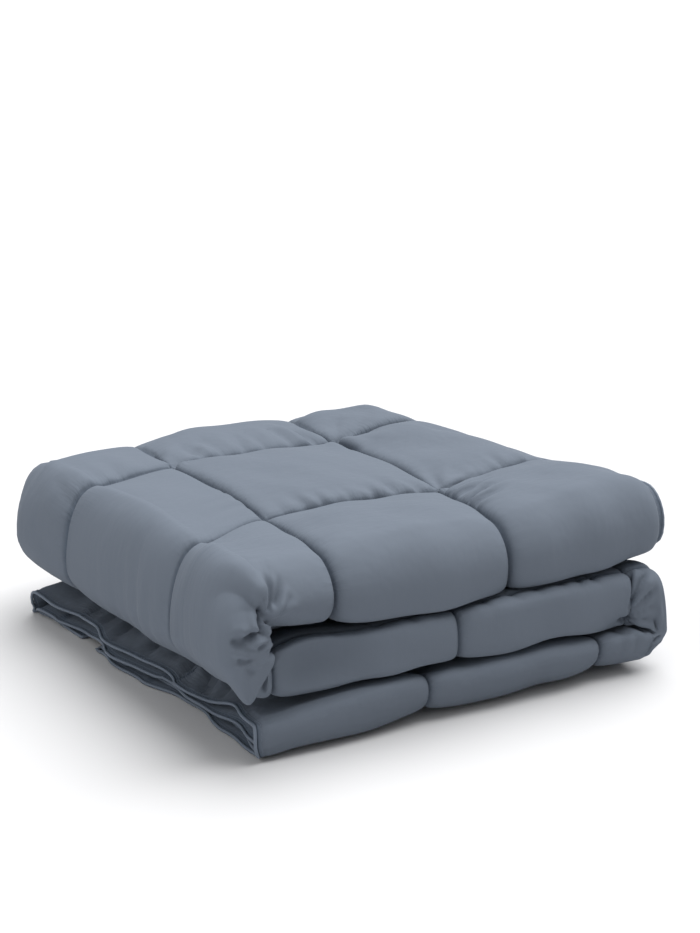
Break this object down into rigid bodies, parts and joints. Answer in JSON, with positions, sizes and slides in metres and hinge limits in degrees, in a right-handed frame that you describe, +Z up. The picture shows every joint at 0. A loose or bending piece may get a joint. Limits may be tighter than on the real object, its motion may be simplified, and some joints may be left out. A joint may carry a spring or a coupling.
{
  "type": "folded down alternative duvet",
  "caption": "Box-quilted down alternative duvet with a corded edge, folded into a square three-section stack.",
  "frame": {"origin": "centre of the underside, on the surface that the folded duvet rests on", "axes": "+Z up, the folded front faces -Y and the big rolled fold faces -X"},
  "size_m": [0.6964, 0.7324, 0.2613],
  "materials": {
    "microfibre": "brushed microfibre cover in slate blue-grey, soft satin sheen, quilted in boxes over polyester fill",
    "piping_cord": "thin cord covered in the same slate blue-grey microfibre, sewn round the edge"
  },
  "bodies": {
    "root": {"quilt": "microfibre", "piping": "piping_cord"}
  },
  "joints": []
}
